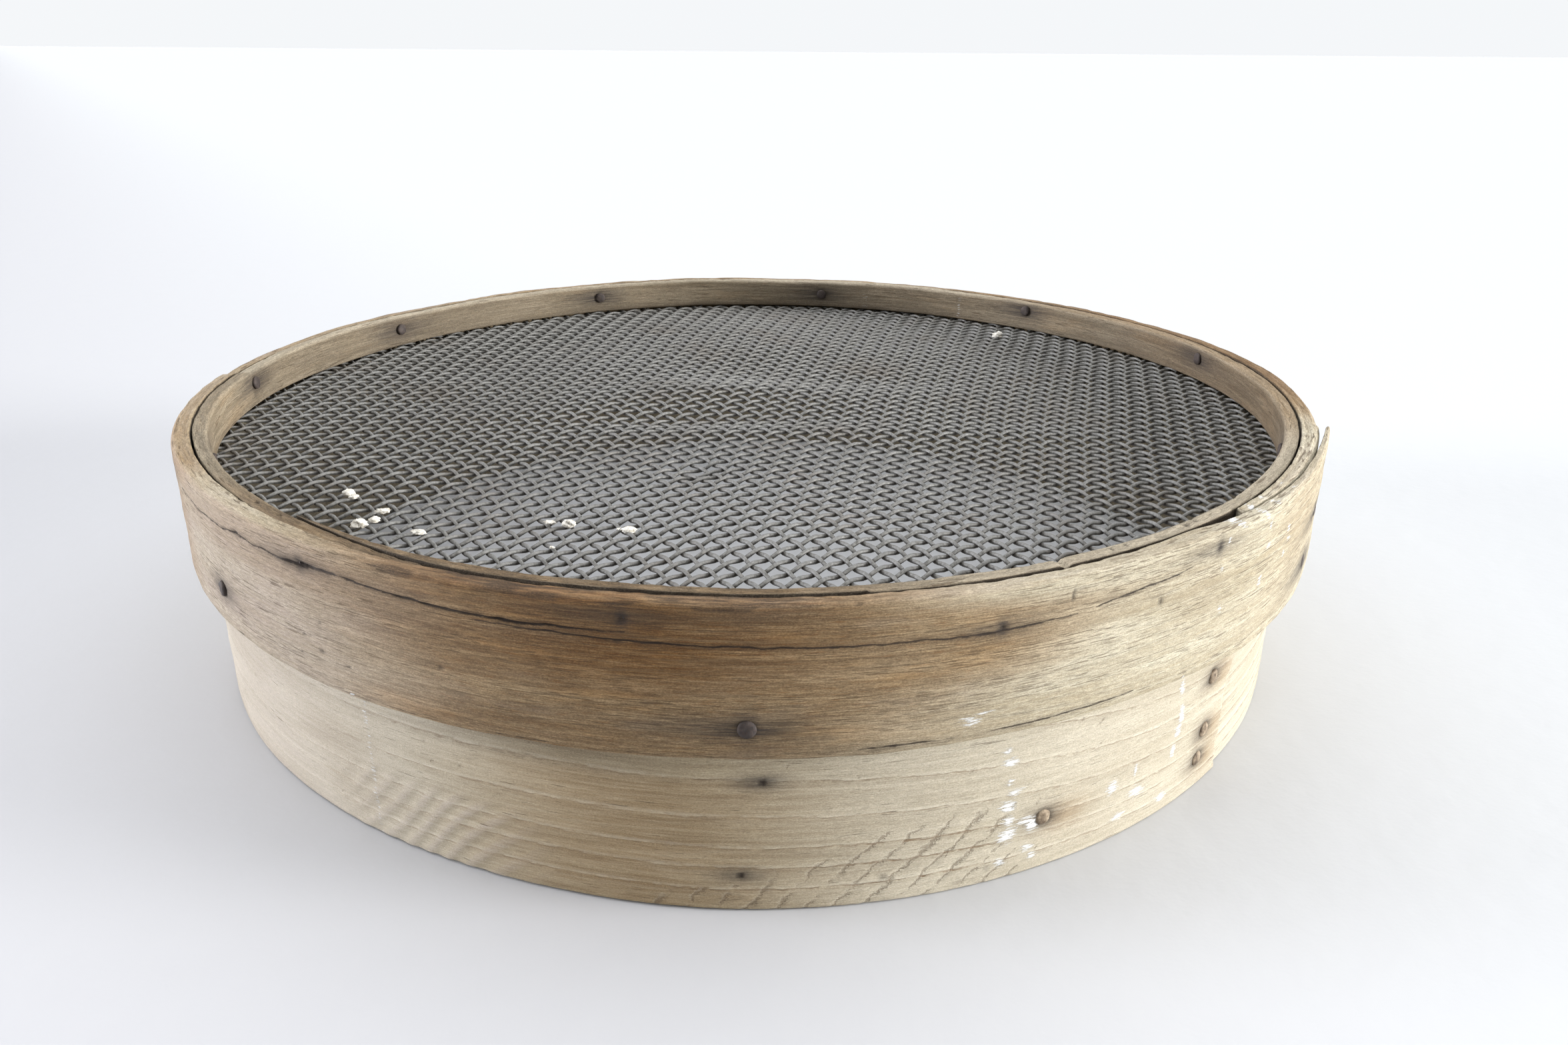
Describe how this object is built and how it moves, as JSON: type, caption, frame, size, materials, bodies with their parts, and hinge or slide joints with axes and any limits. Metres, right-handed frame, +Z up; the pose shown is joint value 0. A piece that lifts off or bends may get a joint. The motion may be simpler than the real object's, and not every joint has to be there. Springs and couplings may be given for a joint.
{
  "type": "soil sieve",
  "caption": "Round bentwood garden sieve with woven wire cloth held between a drum, an outer hoop and an inner hoop by iron nails, standing wire end up.",
  "frame": {"origin": "on the floor at the middle of the drum, which stands on its open end", "axes": "+Z up from the drum's open end to the wire end; +X to the right and +Y away as seen from the side where the drum's lap is; the bands wind anticlockwise seen from +Z"},
  "size_m": [0.4022, 0.4029, 0.0897],
  "materials": {
    "drum_wood": "bare, weathered and worn, with growth rings and saw marks",
    "outer_hoop_wood": "bare, browned by handling, close grain with splits",
    "inner_hoop_wood": "bare, weathered",
    "wire_steel": "dull, with rust and dried soil",
    "nail_iron": "rusted black-brown"
  },
  "bodies": {
    "root": {"drum": "drum_wood", "outer_hoop": "outer_hoop_wood", "inner_hoop": "inner_hoop_wood", "wire_mesh": "wire_steel", "hoop_nail_01": "nail_iron", "hoop_nail_02": "nail_iron", "hoop_nail_03": "nail_iron", "hoop_nail_04": "nail_iron", "hoop_nail_05": "nail_iron", "hoop_nail_06": "nail_iron", "hoop_nail_07": "nail_iron", "hoop_nail_08": "nail_iron", "rim_nail_01": "nail_iron", "rim_nail_02": "nail_iron", "rim_nail_03": "nail_iron", "rim_nail_04": "nail_iron", "rim_nail_05": "nail_iron", "rim_nail_06": "nail_iron", "rim_nail_07": "nail_iron", "rim_nail_08": "nail_iron", "rim_nail_09": "nail_iron", "rim_nail_10": "nail_iron", "rim_nail_11": "nail_iron", "rim_nail_12": "nail_iron", "drum_lap_nail_01": "nail_iron", "drum_lap_nail_02": "nail_iron", "drum_lap_nail_03": "nail_iron", "drum_lap_nail_04": "nail_iron", "drum_end_nail_01": "nail_iron", "drum_end_nail_02": "nail_iron"}
  },
  "joints": []
}
